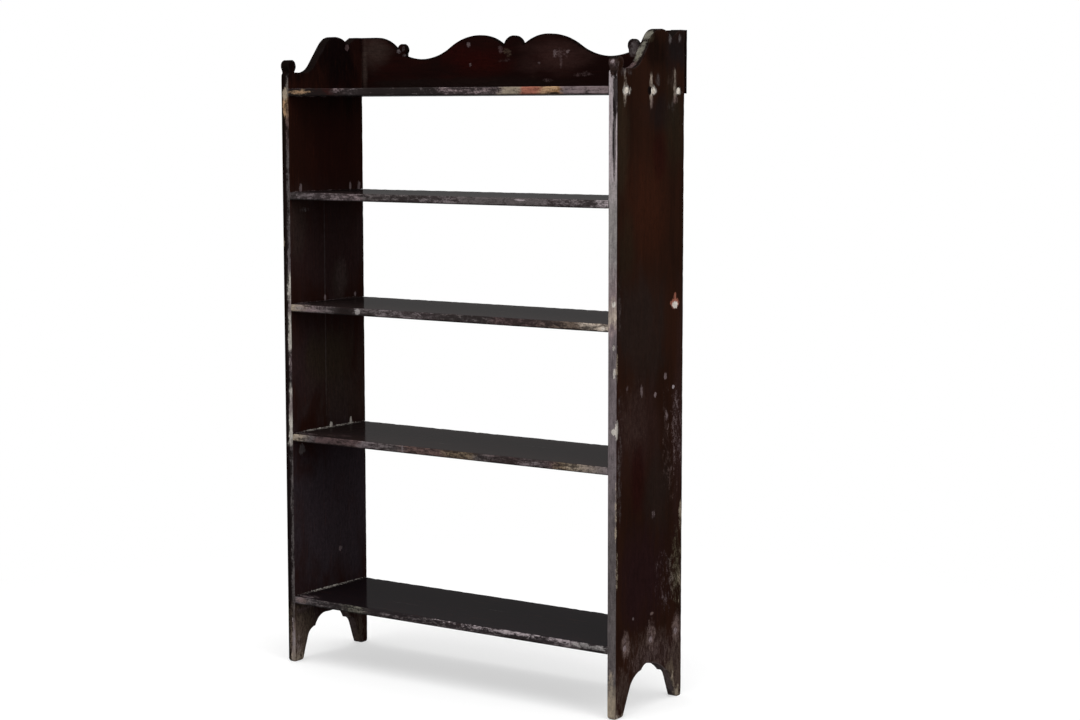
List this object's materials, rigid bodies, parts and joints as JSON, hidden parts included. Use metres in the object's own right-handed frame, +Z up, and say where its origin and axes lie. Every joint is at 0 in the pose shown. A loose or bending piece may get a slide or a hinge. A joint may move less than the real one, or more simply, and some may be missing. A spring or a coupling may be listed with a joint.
{
  "type": "shelving unit",
  "caption": "Tall open-backed bookcase with scalloped end panels on arched feet, dadoed shelves and a sawn crest board, in worn dark paint.",
  "frame": {"origin": "on the floor, at the middle of the whole width and depth", "axes": "+X to the right end panel, +Y to the back where the crest board is, +Z up"},
  "size_m": [0.914, 0.274, 1.454],
  "materials": {
    "painted_board": "worn near-black paint over red-brown, satin",
    "shelf_board": "worn near-black paint, satin, with bare and grey edges",
    "plug_wood": "wood plugs rubbed bare of paint",
    "fastener_steel": "dull dark iron screws and nails"
  },
  "bodies": {
    "root": {"left_end_panel": "painted_board", "right_end_panel": "painted_board", "crest_board": "painted_board", "top_shelf": "shelf_board", "upper_shelf": "shelf_board", "middle_shelf": "shelf_board", "lower_shelf": "shelf_board", "bottom_shelf": "shelf_board", "screw_plugs": "plug_wood", "shelf_screws": "fastener_steel", "crest_nails": "fastener_steel"}
  },
  "joints": []
}
